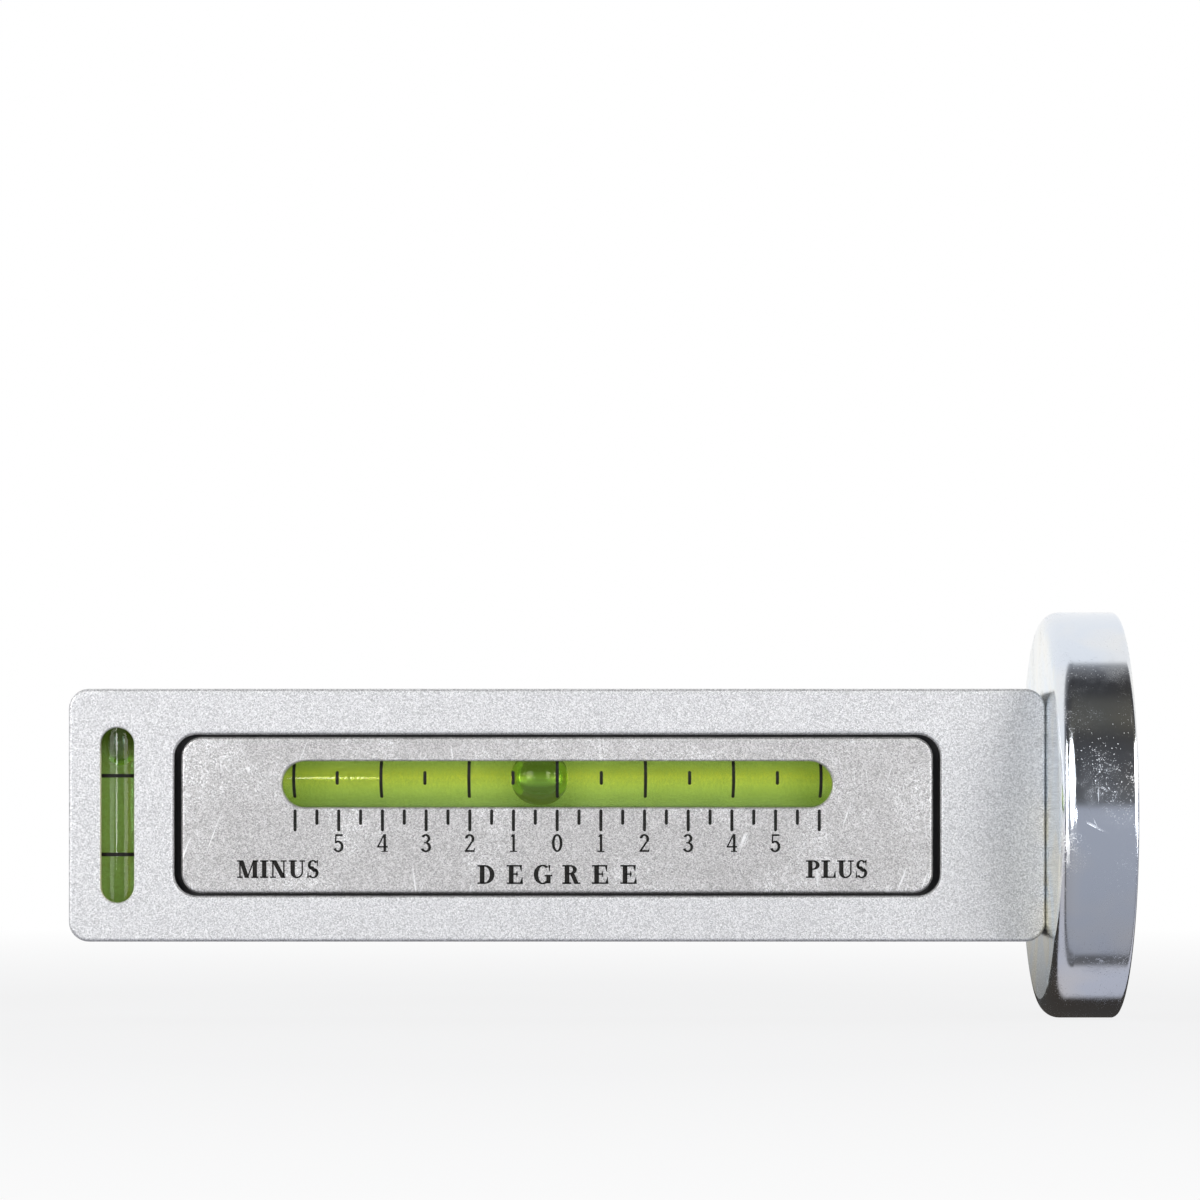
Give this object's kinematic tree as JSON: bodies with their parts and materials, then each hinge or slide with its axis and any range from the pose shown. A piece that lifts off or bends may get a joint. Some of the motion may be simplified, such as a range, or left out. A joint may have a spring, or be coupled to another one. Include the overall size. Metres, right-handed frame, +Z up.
{
  "type": "camber caster gauge",
  "caption": "Bar-shaped wheel alignment gauge: a round pot magnet at one end, a bent camber vial in a scale plate, an adjustable caster vial on the other side and a cross level.",
  "frame": {"origin": "centre of the magnet's contact face", "axes": "+X out of the magnet's contact face, with the bar along -X; -Y out of the camber scale; +Z up, across the bar"},
  "size_m": [0.1665, 0.065, 0.065],
  "materials": {
    "bar_aluminium": "fine bead blasted, clear anodised",
    "plate_aluminium": "bead blasted, slightly warmer, black filled marks",
    "vial_acrylic": "clear, polished",
    "vial_liquid": "clear yellow-green liquid",
    "vial_bubble": "clear",
    "vial_plug": "moulded",
    "rubber_pad": "matt",
    "black_cap": "moulded",
    "screw_steel": "turned",
    "spring_steel": "drawn wire",
    "adjust_brass": "turned and knurled",
    "zinc_steel": "bright zinc plate, rubbed and scratched",
    "ferrite": "ground, dark grey",
    "potting_resin": "cast"
  },
  "bodies": {
    "housing": {"body_block": "bar_aluminium", "camber_scale_plate": "plate_aluminium", "camber_plate_screws": "screw_steel", "camber_vial_tube": "vial_acrylic", "camber_vial_plugs": "vial_plug", "camber_vial_liquid": "vial_liquid", "level_vial_tube": "vial_acrylic", "level_vial_plugs": "vial_plug", "level_vial_liquid": "vial_liquid", "level_bore_pad": "rubber_pad", "level_bore_cap": "black_cap", "caster_pivot_pins": "screw_steel", "caster_spring": "spring_steel", "magnet_cup": "zinc_steel", "magnet_ring": "ferrite", "magnet_core": "zinc_steel", "magnet_potting": "potting_resin", "magnet_screw": "screw_steel"},
    "camber_bubble": {"camber_vial_bubble": "vial_bubble"},
    "level_bubble": {"level_vial_bubble": "vial_bubble"},
    "carrier": {"caster_carrier": "plate_aluminium", "caster_vial_tube": "vial_acrylic", "caster_vial_plugs": "vial_plug", "caster_vial_liquid": "vial_liquid"},
    "caster_bubble": {"caster_vial_bubble": "vial_bubble"},
    "adjust_screw": {"caster_adjust_screw": "adjust_brass"},
    "adjust_washer": {"caster_adjust_washer": "screw_steel"}
  },
  "joints": [
    {"name": "camber_bubble_travel", "type": "hinge", "parent": "housing", "child": "camber_bubble", "pos_m": [-0.08925, 0.39116, 0.0059], "axis": [0, 0, 1], "range_deg": [-5.42, 6.23], "deforming": ["camber_vial_liquid"]},
    {"name": "level_bubble_travel", "type": "slide", "parent": "housing", "child": "level_bubble", "axis": [0, 0, 1], "range_m": [-0.02326, 0], "stiffness_N_per_m": 0.1, "springref_m": 0.03, "deforming": ["level_vial_liquid"]},
    {"name": "adjust_feed", "type": "slide", "parent": "housing", "child": "adjust_washer", "axis": [0, -1, 0], "range_m": [-0.0019, 0.0019], "deforming": ["caster_spring"]},
    {"name": "adjust_turn", "type": "hinge", "parent": "adjust_washer", "child": "adjust_screw", "pos_m": [-0.14375, 0.01, 0.004], "axis": [0, -1, 0], "range_deg": [-975, 975]},
    {"name": "carrier_tilt", "type": "hinge", "parent": "housing", "child": "carrier", "pos_m": [-0.08925, 0.00825, 0], "axis": [0, 0, 1], "range_deg": [-1.99, 1.99]},
    {"name": "caster_bubble_travel", "type": "hinge", "parent": "carrier", "child": "caster_bubble", "pos_m": [-0.08925, -0.39116, -0.0059], "axis": [0, 0, -1], "range_deg": [-7.03, 4.62], "deforming": ["caster_vial_liquid"]}
  ],
  "couplings": [
    {"joint": "adjust_feed", "follows": "carrier_tilt", "m_per_rad": 0.0545},
    {"joint": "adjust_turn", "follows": "carrier_tilt", "ratio": 489.19}
  ]
}
